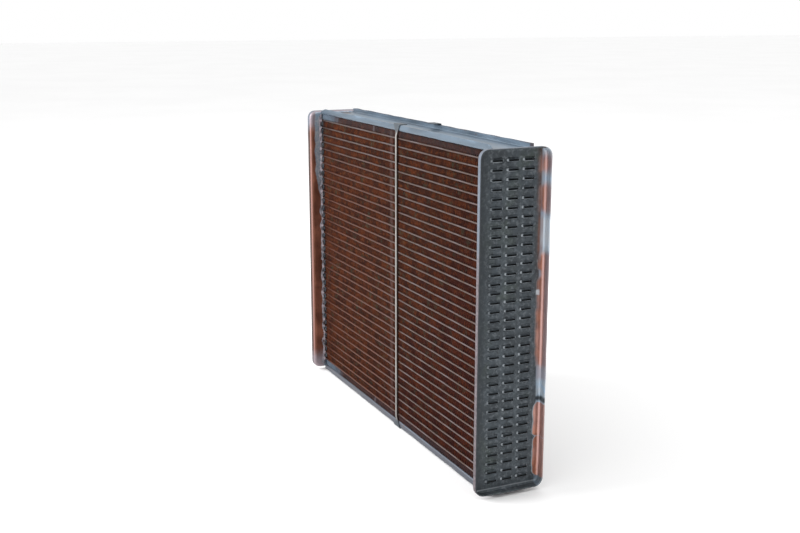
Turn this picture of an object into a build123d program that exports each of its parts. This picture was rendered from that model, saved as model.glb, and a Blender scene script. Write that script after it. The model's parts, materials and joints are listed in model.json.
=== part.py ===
from build123d import *
import math
import os

# A soldered copper and brass car radiator core, with its tanks off.
# All sizes are in millimetres. The air blows along Y, the water runs along X and the tube rows
# are stacked along Z. The origin is at the middle of the core, level with its lowest point.

# Core block
core_length = 489.5
tube_rows = 36
tube_columns = 3
row_pitch = 10.0
column_pitch = 19.0

# Flat water tubes, open at both ends
tube_width = 12.0
tube_thickness = 2.0
tube_wall = 0.3
tube_overhang = 2.0

# Folded fin strips, one layer between each pair of tube rows and one outside each end row
fin_wave = 8.4
fin_sheet = 0.15
fin_recess = 0.8
fin_end_gap = 3.0

# Header plates: shallow trays that the tube ends pass through, open towards the missing tanks
header_sheet = 1.2
header_rim_depth = 9.0
header_overhang_side = 16.7
header_overhang_end = 3.1
header_corner_radius = 12.0
header_bend_radius = 2.8

# Solder rings round the tube ends, on the tank side of each header plate
solder_ring_rim = 1.9
solder_ring_height = 1.5
solder_ring_chamfer = 0.8

# Side plates: channels along the top and the bottom of the core, open away from it
plate_sheet = 1.0
plate_flange_height = 7.5
plate_bend_radius = 1.0

# Tie straps: narrow bars down the front and back faces, flared and hooked over the side plates
strap_width = 4.5
strap_thickness = 2.0
strap_head_width = 18.0
strap_head_sheet = 1.0
strap_head_length = 11.0
strap_hook_length = 10.0
strap_bar_lap = 4.0
front_strap_place = 13.0
rear_strap_place = 22.0

# Clearances that solder fills on the real core
solder_film = 0.05
slot_clearance = 0.1
strap_clearance = 0.05

# Sizes that follow from the ones above
core_depth = (tube_columns - 1) * column_pitch + tube_width
tube_stack_half = (tube_rows - 1) * row_pitch / 2
fin_layer_height = row_pitch - tube_thickness
web_inner_half = tube_stack_half + tube_thickness / 2 + fin_layer_height
flange_top_half = web_inner_half + plate_flange_height
core_middle_height = flange_top_half + strap_clearance + strap_head_sheet
header_height = 2 * (web_inner_half + plate_sheet + header_overhang_end)
header_depth = core_depth + 2 * header_overhang_side
clear_length = core_length - 2 * header_sheet


def row_height(row):
    """Height of a tube row's centre line; row 0 is the lowest."""
    return core_middle_height - tube_stack_half + row * row_pitch


def column_offset(column):
    """Depth position of a tube column's centre line; column 0 is at the front."""
    return (column - (tube_columns - 1) / 2) * column_pitch


def tube_section(grow=0.0):
    """The tube's outer section, seen along the water's way, grown by a clearance."""
    return Plane.YZ * SlotOverall(tube_width + 2 * grow, tube_thickness + 2 * grow)


def make_tube():
    """One open flat tube, centred on the origin, that reaches past both header plates."""
    section = tube_section() - tube_section(-tube_wall)
    return extrude(section, amount=core_length / 2 + tube_overhang, both=True)


def make_tube_column(column):
    """One column of tubes, all the rows of it, as separate solids."""
    tube = make_tube()
    return Compound([Pos(0, column_offset(column), row_height(row)) * tube for row in range(tube_rows)])


def make_fin_strip():
    """One folded strip, centred on the origin: a zigzag whose crests reach the tubes above and below."""
    waves = math.floor((clear_length - 2 * fin_end_gap) / fin_wave)
    half_wave = fin_wave / 2
    height = fin_layer_height - 2 * solder_film
    sheet_rise = fin_sheet * math.hypot(half_wave, height) / half_wave
    low = -height / 2
    high = height / 2 - sheet_rise
    start = -waves * half_wave
    under_side = [(start + fold * half_wave, high if fold % 2 else low) for fold in range(2 * waves + 1)]
    upper_side = [(x, z + sheet_rise) for x, z in reversed(under_side)]
    section = Plane.XZ * make_face(Polyline(*under_side, *upper_side, close=True))
    return extrude(section, amount=core_depth / 2 - fin_recess, both=True)


def tube_places():
    """Positions of all the tube ends on a header plate that stands at the origin."""
    return [
        Pos(0, column_offset(column), row_height(row))
        for row in range(tube_rows)
        for column in range(tube_columns)
    ]


def header_block(inset, floor_level, bend_radius):
    """A block with the tray's outline less an inset, from the floor level out to the rim."""
    outline = RectangleRounded(
        header_depth - 2 * inset,
        header_height - 2 * inset,
        header_corner_radius - inset,
    )
    block = extrude(Plane.YZ * outline, amount=header_rim_depth - floor_level)
    floor_edges = block.edges().group_by(Axis.X)[0]
    return Pos(floor_level, 0, core_middle_height) * fillet(floor_edges, bend_radius)


def make_header_plate():
    """The right header plate, with the tank side of its floor in the plane X = 0."""
    tray = header_block(0, -header_sheet, header_bend_radius + header_sheet)
    tray -= header_block(header_sheet, 0, header_bend_radius)
    punch = extrude(tube_section(slot_clearance), amount=2 * header_sheet, both=True)
    return tray - [place * punch for place in tube_places()]


def make_solder_ring():
    """The solder round one tube end, on the tank side of a header floor in the plane X = 0."""
    section = tube_section(solder_ring_rim) - tube_section(solder_film)
    ring = extrude(section, amount=solder_ring_height)
    top_face = ring.faces().sort_by(Axis.X)[-1]
    return chamfer(top_face.outer_wire().edges(), solder_ring_chamfer)


def make_solder_rings():
    """All the solder rings of the right header plate, as separate solids."""
    ring = make_solder_ring()
    return Compound([place * ring for place in tube_places()])


def to_right_end(piece):
    """Moves a header piece from the plane X = 0 to the right end of the core."""
    return Pos(core_length / 2, 0, 0) * piece


def to_left_end(piece):
    """Turns a header piece round to the left end of the core."""
    return Rot(0, 0, 180) * to_right_end(piece)


def make_side_plate():
    """The top channel, with the core side of its web in the plane Z = 0 and its flanges upwards."""
    outer = Rectangle(core_depth, plate_flange_height, align=(Align.CENTER, Align.MIN))
    outer = fillet(outer.vertices().group_by(Axis.Y)[0], plate_bend_radius + plate_sheet)
    hollow = Rectangle(
        core_depth - 2 * plate_sheet,
        plate_flange_height,
        align=(Align.CENTER, Align.MIN),
    )
    hollow = fillet(hollow.vertices().group_by(Axis.Y)[0], plate_bend_radius)
    section = Plane.YZ * (outer - Pos(0, plate_sheet) * hollow)
    return extrude(section, amount=clear_length / 2 - slot_clearance, both=True)


def make_tie_strap():
    """The front strap, centred on X = 0 and Z = 0, with its inner side just off the tube noses."""
    inner_side = -core_depth / 2 - strap_clearance
    hook_level = flange_top_half + strap_clearance
    head_start = hook_level - strap_head_length
    hook_top = hook_level + strap_head_sheet
    head_outline = Polyline(
        (-strap_width / 2, head_start),
        (strap_width / 2, head_start),
        (strap_head_width / 2, hook_level),
        (strap_head_width / 2, hook_top),
        (-strap_head_width / 2, hook_top),
        (-strap_head_width / 2, hook_level),
        close=True,
    )
    head = extrude(Plane.XZ * make_face(head_outline), amount=strap_head_sheet)
    hook = Pos(0, 0, hook_level) * Box(
        strap_head_width,
        strap_hook_length,
        strap_head_sheet,
        align=(Align.CENTER, Align.MIN, Align.MIN),
    )
    bar = Box(
        strap_width,
        strap_thickness,
        2 * (head_start + strap_bar_lap),
        align=(Align.CENTER, Align.MAX, Align.CENTER),
    )
    end = head + hook
    strap = bar + end + mirror(end, about=Plane.XY)
    return Pos(0, inner_side, 0) * strap


os.makedirs("parts", exist_ok=True)


def write_node(name, shape):
    """Writes one node's STEP file."""
    export_step(shape, f"parts/{name}.step")


write_node("header_plate_right", to_right_end(make_header_plate()))
write_node("header_plate_left", to_left_end(make_header_plate()))
write_node("tube_solder_right", to_right_end(make_solder_rings()))
write_node("tube_solder_left", to_left_end(make_solder_rings()))

for column in range(tube_columns):
    write_node(f"tube_column_{column + 1}", make_tube_column(column))

fin_strip = make_fin_strip()
for layer in range(tube_rows + 1):
    place = Pos(0, 0, row_height(layer) - row_pitch / 2)
    write_node(f"fin_strip_{layer + 1:02d}", place * fin_strip)

top_plate = Pos(0, 0, web_inner_half) * make_side_plate()
write_node("side_plate_top", Pos(0, 0, core_middle_height) * top_plate)
write_node("side_plate_bottom", Pos(0, 0, core_middle_height) * Rot(180, 0, 0) * top_plate)

tie_strap = Pos(0, 0, core_middle_height) * make_tie_strap()
write_node("tie_strap_front", Pos(front_strap_place, 0, 0) * tie_strap)
write_node("tie_strap_rear", Pos(rear_strap_place, 0, 0) * Rot(0, 0, 180) * tie_strap)
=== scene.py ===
"""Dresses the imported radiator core: folded fins, flat tubes, dipped header trays, channels and straps."""

import json
import math

import bpy
import numpy as np
from bpy.props import FloatProperty, FloatVectorProperty, PointerProperty
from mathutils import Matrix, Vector


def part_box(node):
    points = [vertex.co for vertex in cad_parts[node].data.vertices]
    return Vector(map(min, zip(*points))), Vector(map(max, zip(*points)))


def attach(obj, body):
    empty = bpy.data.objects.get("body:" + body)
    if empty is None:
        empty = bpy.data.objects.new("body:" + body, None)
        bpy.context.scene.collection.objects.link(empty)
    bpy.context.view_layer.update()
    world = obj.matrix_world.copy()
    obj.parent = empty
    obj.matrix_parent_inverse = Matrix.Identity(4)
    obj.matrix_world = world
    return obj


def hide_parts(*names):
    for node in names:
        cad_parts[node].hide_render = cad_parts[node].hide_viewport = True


bl_info = {
    "name": "Car radiator core",
    "version": (1, 0, 0),
    "blender": (4, 5, 0),
    "location": "3D Viewport > Sidebar > Radiator",
    "description": "Fins, tubes, header trays, solder, channels and tie straps of a soldered radiator core",
    "category": "Add Mesh",
}

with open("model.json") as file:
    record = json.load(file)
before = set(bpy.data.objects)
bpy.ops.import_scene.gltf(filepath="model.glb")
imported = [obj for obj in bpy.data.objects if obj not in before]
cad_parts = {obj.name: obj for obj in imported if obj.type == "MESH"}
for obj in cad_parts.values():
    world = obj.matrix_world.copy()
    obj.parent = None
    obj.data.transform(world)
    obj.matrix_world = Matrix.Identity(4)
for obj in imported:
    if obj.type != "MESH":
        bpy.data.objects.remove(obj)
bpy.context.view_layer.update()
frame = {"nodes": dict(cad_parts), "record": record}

MM = 0.001
BODY = "root"

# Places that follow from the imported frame
FIN_NODES = sorted(name for name in frame["nodes"] if name.startswith("fin_strip"))
TUBE_NODES = sorted(name for name in frame["nodes"] if name.startswith("tube_column"))
SEAT = next(m for m in frame["record"]["mounts"] if m["name"] == "tank_seat_right")["pos_m"]
FLOOR_X = SEAT[0]
MIDDLE_Z = SEAT[2]
ROWS = len(FIN_NODES) - 1
ROW_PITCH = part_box(FIN_NODES[1])[0].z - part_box(FIN_NODES[0])[0].z
TUBE_LOW, TUBE_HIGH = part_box(TUBE_NODES[0])
TUBE_THICKNESS = TUBE_HIGH.z - TUBE_LOW.z - (ROWS - 1) * ROW_PITCH
TUBE_WIDTH = TUBE_HIGH.y - TUBE_LOW.y
TUBE_REACH = TUBE_HIGH.x
COLUMN_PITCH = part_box(TUBE_NODES[1])[0].y - TUBE_LOW.y
COLUMN_PLACES = [sum(corner.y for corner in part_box(name)) / 2 for name in TUBE_NODES]
ROW_PLACES = [MIDDLE_Z + (row - (ROWS - 1) / 2) * ROW_PITCH for row in range(ROWS)]
CORE_FRONT = TUBE_LOW.y
CORE_BACK = -CORE_FRONT
RIM_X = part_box("header_plate_right")[1].x
HEADER_HALF_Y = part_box("header_plate_right")[1].y
HEADER_HALF_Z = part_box("header_plate_right")[1].z - MIDDLE_Z


# ---------------------------------------------------------------- settings


def length(label, words, millimetres):
    """A size that a user may change, in metres."""
    return FloatProperty(name=label, description=words, default=millimetres * MM, min=0, unit="LENGTH")


def colour(label, words, red, green, blue):
    """A surface colour that a user may change."""
    return FloatVectorProperty(
        name=label, description=words, default=(red, green, blue), min=0, max=1, size=3, subtype="COLOR"
    )


class CoreSizes(bpy.types.PropertyGroup):
    """Sizes of the core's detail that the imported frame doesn't hold."""

    fin_wave: length("Fin wave", "Length of one whole fold of a fin strip", 4.2)
    fin_sheet: length("Fin sheet", "Thickness of the fin strip", 0.12)
    fin_crest: length("Fin crest radius", "Radius of the folds where they touch a tube", 0.55)
    fin_ripple: length("Fin ripple", "How far a fin's wall waves from front to back", 0.6)
    fin_bend: length("Fin bend", "How far knocks have bent the fins' edges", 0.45)
    tube_wall: length("Tube wall", "Thickness of the tube sheet", 0.3)
    tube_wave: length("Tube wave", "How far a tube strays from straight", 0.12)
    header_sheet: length("Header sheet", "Thickness of the header plates", 1.2)
    header_bend: length("Header bend radius", "Inner radius between a header's floor and its rim", 2.8)
    header_corner: length("Header corner radius", "Radius of the header's corners, outside", 10.0)
    rim_slope: length("Rim slope", "How much shallower a header is along its front side", 2.4)
    ring_reach: length("Solder ring reach", "How far solder spreads from a tube end over the floor", 1.9)
    ring_height: length("Solder ring height", "How high solder climbs up a tube end", 0.9)
    bead_height: length("Solder bead height", "How thick the solder lies on the header's core side", 1.3)
    bead_reach: length("Solder bead reach", "How far that solder spreads from the core", 4.0)
    plate_sheet: length("Side plate sheet", "Thickness of the side plates", 1.0)
    plate_bend: length("Side plate bend radius", "Inner radius of the side plates' bends", 1.0)
    flange_cut: length("Flange end cut", "How much lower the side plates' flanges are at their ends", 3.0)
    strap_width: length("Strap width", "Width of a tie strap's bar", 4.5)
    strap_thickness: length("Strap thickness", "Thickness of a tie strap's bar", 2.0)
    head_width: length("Strap head width", "Width of a tie strap's flared head", 18.0)
    head_sheet: length("Strap head sheet", "Thickness of a tie strap's flared head", 1.0)
    head_length: length("Strap head length", "Height over which a tie strap flares", 11.0)
    hook_length: length("Strap hook length", "How far a tie strap's hook reaches inwards", 10.0)


class CoreFinishes(bpy.types.PropertyGroup):
    """Colours of the core's metals."""

    copper: colour("Copper", "Bare copper where it is clean", 0.46, 0.21, 0.145)
    dull_copper: colour("Dull copper", "Copper that has browned", 0.20, 0.082, 0.052)
    fin_copper: colour("Fin copper", "The fins' red-brown oxide", 0.103, 0.031, 0.0145)
    # Also used as painted shade: at the fins' far ends, under the tubes, on the far rim, in the channels'
    # corner and gap, and along the straps' sides.
    fin_dark: colour("Dark fin", "Darker stains on the fins", 0.045, 0.018, 0.0135)
    fin_rust: colour("Orange fin", "Rubbed orange spots on the fins", 0.205, 0.066, 0.023)
    slate: colour("Dipped solder", "Dark solder that a header floor was dipped in", 0.045, 0.055, 0.064)
    solder: colour("Solder", "Fresh light solder", 0.34, 0.37, 0.40)
    wash: colour("Tinned copper", "Copper with a thin pinkish wash of tin", 0.225, 0.195, 0.215)
    tin: colour("Tinned sheet", "Blue-grey tinned steel", 0.155, 0.21, 0.27)
    tube_tin: colour("Tinned tube", "The tubes' grey-pink tinned brass", 0.100, 0.068, 0.056)
    strap: colour("Strap", "The tie straps' dull plating", 0.225, 0.22, 0.21)
    # Near-black: real scale, darkened further as painted shade inside the tubes.
    scale: colour("Tube scale", "Dark scale inside the tubes", 0.012, 0.011, 0.010)
    verdigris: colour("Verdigris", "Faint green tarnish", 0.055, 0.075, 0.05)


class StageSettings(bpy.types.PropertyGroup):
    """Camera, lights and floor."""

    camera_place: FloatVectorProperty(
        name="Camera place",
        description="Where the camera stands",
        default=(1.2216, -0.5781, 0.5137),
        size=3,
        subtype="TRANSLATION",
        unit="LENGTH",
    )
    camera_heading: FloatProperty(
        name="Camera heading", description="Turn of the view from +X", default=2.7098, subtype="ANGLE"
    )
    camera_tilt: FloatProperty(
        name="Camera tilt", description="Slope of the view", default=-0.2250, subtype="ANGLE"
    )
    camera_lens: FloatProperty(name="Lens", description="Focal length in millimetres", default=49.69)
    key_power: FloatProperty(name="Key light", description="Front light", default=70.0, unit="POWER")
    top_power: FloatProperty(name="Top light", description="Overhead light", default=12.0, unit="POWER")
    surround: FloatProperty(name="Surround", description="Brightness of the studio", default=1.0)
    floor_width: FloatProperty(name="Floor", description="Width of the floor", default=40.0, unit="LENGTH")


def sizes():
    """The core's sizes that a user may change."""
    return bpy.context.scene.core_sizes


def finishes():
    """The colours of the core's metals."""
    return bpy.context.scene.core_finishes


def tone(metal, factor):
    """A metal's colour made lighter or darker by that factor."""
    return [c * factor for c in metal]


def blend(first, second, share):
    """The sum of two metals' colours times that share."""
    return [(a + b) * share for a, b in zip(first, second)]


# ---------------------------------------------------------------- shader nodes


class Flow:
    """A node's output. Arithmetic on it adds Math nodes to the same material."""

    def __init__(self, graph, socket):
        self.graph = graph
        self.socket = socket

    def maths(self, operation, *values):
        """A Math node on these values, as a new flow."""
        inputs = dict(enumerate(values))
        return self.graph.node("ShaderNodeMath", {"operation": operation}, inputs)

    def __add__(self, other):
        return self.maths("ADD", self, other)

    def __sub__(self, other):
        return self.maths("SUBTRACT", self, other)

    def __rsub__(self, other):
        return self.maths("SUBTRACT", other, self)

    def __mul__(self, other):
        return self.maths("MULTIPLY", self, other)

    def __truediv__(self, other):
        return self.maths("DIVIDE", self, other)

    def __rtruediv__(self, other):
        return self.maths("DIVIDE", other, self)

    def __pow__(self, other):
        return self.maths("POWER", self, other)

    def __rpow__(self, other):
        return self.maths("POWER", other, self)

    def __neg__(self):
        return self.maths("MULTIPLY", self, -1.0)

    def __abs__(self):
        return self.maths("ABSOLUTE", self)

    def least(self, other):
        """The smaller of the two."""
        return self.maths("MINIMUM", self, other)

    def most(self, other):
        """The larger of the two."""
        return self.maths("MAXIMUM", self, other)

    __radd__ = __add__
    __rmul__ = __mul__


class Graph:
    """One material and the nodes in it."""

    def __init__(self, name):
        self.material = bpy.data.materials.new(name)
        self.material.use_nodes = True
        self.tree = self.material.node_tree
        self.tree.nodes.clear()
        self.place = self.node("ShaderNodeTexCoord", out="Object")
        self.x, self.y, self.z = (
            self.node("ShaderNodeSeparateXYZ", inputs={"Vector": self.place}, out=axis) for axis in "XYZ"
        )

    def node(self, kind, settings=None, inputs=None, out=0):
        """Adds a node: its settings first, then the values or links of its sockets."""
        node = self.tree.nodes.new(kind)
        for key, value in (settings or {}).items():
            setattr(node, key, value)
        for key, value in (inputs or {}).items():
            if isinstance(value, Flow):
                self.tree.links.new(value.socket, node.inputs[key])
            else:
                node.inputs[key].default_value = value
        return None if out is None else Flow(self, node.outputs[out])

    def stretched(self, x, y, z):
        """The object coordinates, scaled along each axis."""
        return self.node("ShaderNodeVectorMath", {"operation": "MULTIPLY"}, {0: self.place, 1: (x, y, z)})

    def noise(self, patch, detail=3.0, roughness=0.55, warp=0.0, place=None, shift=0.0):
        """Cloudy noise from 0 to 1 with patches of about that size in metres."""
        moved = self.node(
            "ShaderNodeVectorMath", {"operation": "ADD"}, {0: place or self.place, 1: (shift, shift, shift)}
        )
        inputs = {"Vector": moved, "Scale": 1 / patch, "Detail": detail, "Roughness": roughness}
        inputs["Distortion"] = warp
        return self.node("ShaderNodeTexNoise", inputs=inputs)

    def step(self, value, low, high):
        """A smooth step of the value, from 0 at low to 1 at high."""
        inputs = {"Value": value, "From Min": low, "From Max": high}
        return self.node("ShaderNodeMapRange", {"interpolation_type": "SMOOTHSTEP"}, inputs)

    def between(self, value, low, high, soft):
        """1 where the value lies between low and high, with soft edges."""
        return self.step(value, low - soft, low + soft) * (1 - self.step(value, high - soft, high + soft))

    def from_nearest(self, value, pitch):
        """Signed distance of the value from the nearest whole number of pitches."""
        turns = value / pitch + 0.5
        return (turns.maths("FRACT", turns) - 0.5) * pitch

    def mix(self, factor, first, second):
        """A blend of two colours."""
        first, second = (c if isinstance(c, Flow) else (*c, 1.0) for c in (first, second))
        return self.node("ShaderNodeMix", {"data_type": "RGBA"}, {0: factor, 6: first, 7: second}, out=2)

    def bump(self, height, depth, under=None):
        """Surface relief of that depth in metres from a height between 0 and 1."""
        inputs = {"Height": height, "Distance": depth, "Strength": 1.0}
        if under is not None:
            inputs["Normal"] = under
        return self.node("ShaderNodeBump", inputs=inputs)

    def finish(self, base, roughness, metallic, relief=None, specular=0.5):
        """Joins the surface to the material's output and gives the material back."""
        inputs = {"Base Color": base, "Roughness": roughness, "Metallic": metallic}
        inputs["Specular IOR Level"] = specular
        if relief is not None:
            inputs["Normal"] = relief
        shader = self.node("ShaderNodeBsdfPrincipled", inputs=inputs)
        self.node("ShaderNodeOutputMaterial", inputs={"Surface": shader}, out=None)
        return self.material


def fin_copper_finish():
    """Red-brown oxidised copper, mottled, lighter along one band left of the front strap, tinned at the far
    corners, with painted shade at the far header and under the side channels.
    """
    look = finishes()
    graph = Graph("fin_copper_oxide")
    clouds = graph.noise(0.022, detail=6, roughness=0.65, warp=0.4)
    base = graph.mix(graph.step(clouds, 0.40, 0.60), look.fin_dark, look.fin_copper)
    spots = graph.noise(0.0045, detail=4, roughness=0.65, shift=2.0)
    base = graph.mix(graph.step(spots, 0.52, 0.66) * 0.65, base, look.fin_rust)
    pits = graph.noise(0.0030, detail=3, roughness=0.6, place=graph.stretched(1.0, 1.0, 0.6), shift=5.0)
    base = graph.mix(graph.step(pits, 0.50, 0.64) * 0.8, base, look.fin_dark)
    green = graph.noise(0.009, detail=5, shift=9.0)
    base = graph.mix(graph.step(green, 0.56, 0.68) * 0.45, base, look.verdigris)
    # A lighter copper band left of the front strap.
    band_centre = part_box("tie_strap_front")[0].x - 11 * MM
    wandering = graph.x + (graph.noise(0.05, shift=3.0) - 0.5) * 0.004
    band = graph.between(wandering, band_centre - 4 * MM, band_centre + 4 * MM, 2 * MM)
    base = graph.mix(band * 0.4, base, blend(look.fin_rust, look.wash, 0.5))
    reddish = graph.step(graph.x - graph.z * 0.8, -160 * MM, 60 * MM)
    purple_red = [c * factor for c, factor in zip(look.fin_dark, (1.1, 0.5, 0.8))]
    base = graph.mix(reddish * 0.35, base, purple_red)
    # Painted shade on the fins where they meet the far header.
    far_gap_shade = graph.step(-graph.x + (spots - 0.5) * 0.01, FLOOR_X - 12 * MM, FLOOR_X - 6 * MM)
    base = graph.mix(far_gap_shade * 0.7, base, tone(look.fin_dark, 0.5))
    height = abs(graph.z - MIDDLE_Z)
    outer_layer = graph.step(height, HEADER_HALF_Z - 14 * MM, HEADER_HALF_Z - 10 * MM)
    # Painted shadow on the outermost fin layer, under the side channel's web.
    base = graph.mix(outer_layer * 0.5, base, tone(look.wash, 0.28))
    end = graph.step(-graph.x + (clouds - 0.5) * 0.08, FLOOR_X - 75 * MM, FLOOR_X - 30 * MM)
    pale_spot = graph.between(graph.x, -63 * MM, -58 * MM, 1 * MM)
    base = graph.mix(outer_layer * end * 0.75, base, look.tin)
    base = graph.mix(outer_layer * pale_spot * 0.5, base, look.wash)
    rough = graph.step(spots, 0.2, 0.8) * 0.25 + 0.45
    slats = graph.node(
        "ShaderNodeTexWave",
        {"wave_type": "BANDS", "bands_direction": "Y"},
        {"Vector": graph.place, "Scale": 1 / (20 * 1.3 * MM), "Distortion": 0.3},
    )
    relief = graph.bump(slats, 0.25 * MM)
    relief = graph.bump(graph.noise(0.0012, detail=2), 0.06 * MM, relief)
    return graph.finish(base, rough, 0.85, relief, specular=0.15)


def tube_finish():
    """Tinned brass tube, grey-pink, with brown stains and thin lengthwise scratches."""
    look = finishes()
    graph = Graph("tube_tinned_brass")
    clouds = graph.noise(0.025, detail=4, warp=0.3, shift=1.0)
    light_tin = blend(look.tube_tin, look.wash, 0.45)
    base = graph.mix(graph.step(clouds, 0.35, 0.7), look.tube_tin, light_tin)
    stains = graph.noise(0.009, detail=4, shift=4.0)
    base = graph.mix(graph.step(stains, 0.55, 0.75) * 0.5, base, look.fin_copper)
    browned = graph.step(-graph.x + (clouds - 0.5) * 0.1, -60 * MM, 100 * MM)
    browned = browned * (1 - graph.step(graph.z, 300 * MM, 350 * MM))
    base = graph.mix(browned * 0.85, base, tone(look.fin_copper, 1.2))
    # Painted shade on the lower half of each tube's nose.
    above = graph.from_nearest(graph.z - ROW_PLACES[0], ROW_PITCH)
    under = 1 - graph.step(above, -0.3 * MM, 0.4 * MM)
    base = graph.mix(under * 0.85, base, look.fin_dark)
    dipped = graph.step(abs(graph.x), FLOOR_X - 1.5 * MM, FLOOR_X - 0.5 * MM)
    base = graph.mix(dipped, base, look.slate)
    scratches = graph.noise(0.0012, detail=2, place=graph.stretched(0.05, 1.0, 1.0))
    rough = graph.step(clouds, 0.3, 0.7) * 0.2 + 0.33
    relief = graph.bump(scratches, 0.05 * MM)
    relief = graph.bump(stains, 0.15 * MM, relief)
    return graph.finish(base, rough, 0.8, relief)


def tube_scale_and_shade_finish():
    """Dark scale left by the water inside the tubes, made near-black as painted shade inside them."""
    look = finishes()
    graph = Graph("tube_scale")
    crust = graph.noise(0.003, detail=4)
    base = graph.mix(graph.step(crust, 0.45, 0.75), look.scale, tone(look.scale, 2.5))
    rough = graph.step(crust, 0.3, 0.7) * 0.2 + 0.7
    return graph.finish(base, rough, 0.0, graph.bump(crust, 0.2 * MM), specular=0.15)


def solder_finish():
    """Light grey solder, dull and lumpy, darker in its hollows."""
    look = finishes()
    graph = Graph("solder_light")
    clouds = graph.noise(0.008, detail=4, warp=0.5)
    base = graph.mix(graph.step(clouds, 0.25, 0.6), tone(look.slate, 2), tone(look.wash, 1.2))
    base = graph.mix(graph.step(clouds, 0.6, 0.75) * 0.7, base, look.solder)
    grains = graph.noise(0.0016, detail=3, shift=6.0)
    rough = graph.step(grains, 0.2, 0.8) * 0.25 + 0.3
    relief = graph.bump(clouds, 0.5 * MM)
    relief = graph.bump(grains, 0.1 * MM, relief)
    return graph.finish(base, rough, 0.8, relief)


def turned(graph):
    """How far a point of a header is to its own right; the left header is the right one turned round."""
    return graph.y * graph.x / FLOOR_X


def dipped_base(graph, look):
    """Colour, roughness and relief of dark solder left by dipping, blotchy and faintly green."""
    clouds = graph.noise(0.022, detail=5, warp=0.6)
    grains = graph.noise(0.0040, detail=4, roughness=0.6, shift=3.0)
    pits = graph.noise(0.0045, detail=3, roughness=0.6, shift=12.0)
    base = graph.mix(graph.step(clouds, 0.3, 0.72), tone(look.slate, 0.72), tone(look.slate, 1.35))
    tarnish = graph.noise(0.030, detail=4, shift=7.0)
    base = graph.mix(graph.step(tarnish, 0.52, 0.72) * 0.3, base, look.verdigris)
    base = graph.mix(graph.step(grains, 0.46, 0.74) * 0.22, base, look.solder)
    base = graph.mix(graph.step(pits, 0.48, 0.68) * 0.6, base, tone(look.slate, 0.5))
    rough = graph.step(clouds, 0.3, 0.7) * 0.2 + 0.38
    relief = graph.bump(clouds, 0.45 * MM)
    relief = graph.bump(grains, 0.16 * MM, relief)
    return base, rough, relief


def dipped_finish():
    """Dark dipped solder on the tube ends, with painted highlights at the ends of each tube."""
    look = finishes()
    graph = Graph("solder_dipped")
    base, rough, relief = dipped_base(graph, look)
    across = graph.from_nearest(turned(graph), COLUMN_PITCH)
    spot_noise = graph.noise(0.016, detail=3, shift=8.0)
    level = graph.from_nearest(graph.z - ROW_PLACES[0], ROW_PITCH)
    at_level = 1 - graph.step(abs(level - 0.2 * MM), 0.9 * MM, 1.7 * MM)
    lip = graph.between(level, -2.2 * MM, -1.0 * MM, 0.3 * MM)
    lip = lip * (1 - graph.step(abs(across), 5.0 * MM, 6.0 * MM))
    base = graph.mix(lip * graph.step(spot_noise, 0.35, 0.6) * 0.35, base, look.solder)
    # Painted highlights: bright spots at each tube's ends, stronger at the first end and in the later
    # columns.
    first_end = graph.step(-across + (spot_noise - 0.5) * 0.003, 5.2 * MM, 6.0 * MM)
    other_end = graph.step(across + (spot_noise - 0.5) * 0.004, 6.6 * MM, 7.4 * MM)
    later_column = graph.step(turned(graph), -16 * MM, -10 * MM) * 0.35 + 0.35
    spots = (first_end * later_column).most(other_end * 0.4)
    base = graph.mix(spots * at_level, base, tone(look.solder, 1.1))
    return graph.finish(base, rough, 0.6, relief)


# Bare copper along one bend of a header: lower end, upper end and softness of each patch
BARE_PATCHES = (
    (14 * MM, 60 * MM, 0.8 * MM),
    (60 * MM, 99 * MM, 0.8 * MM),
    (140 * MM, 267 * MM, 4 * MM),
    (309 * MM, 341 * MM, 6 * MM),
    (352 * MM, 372 * MM, 8 * MM),
)


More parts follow.
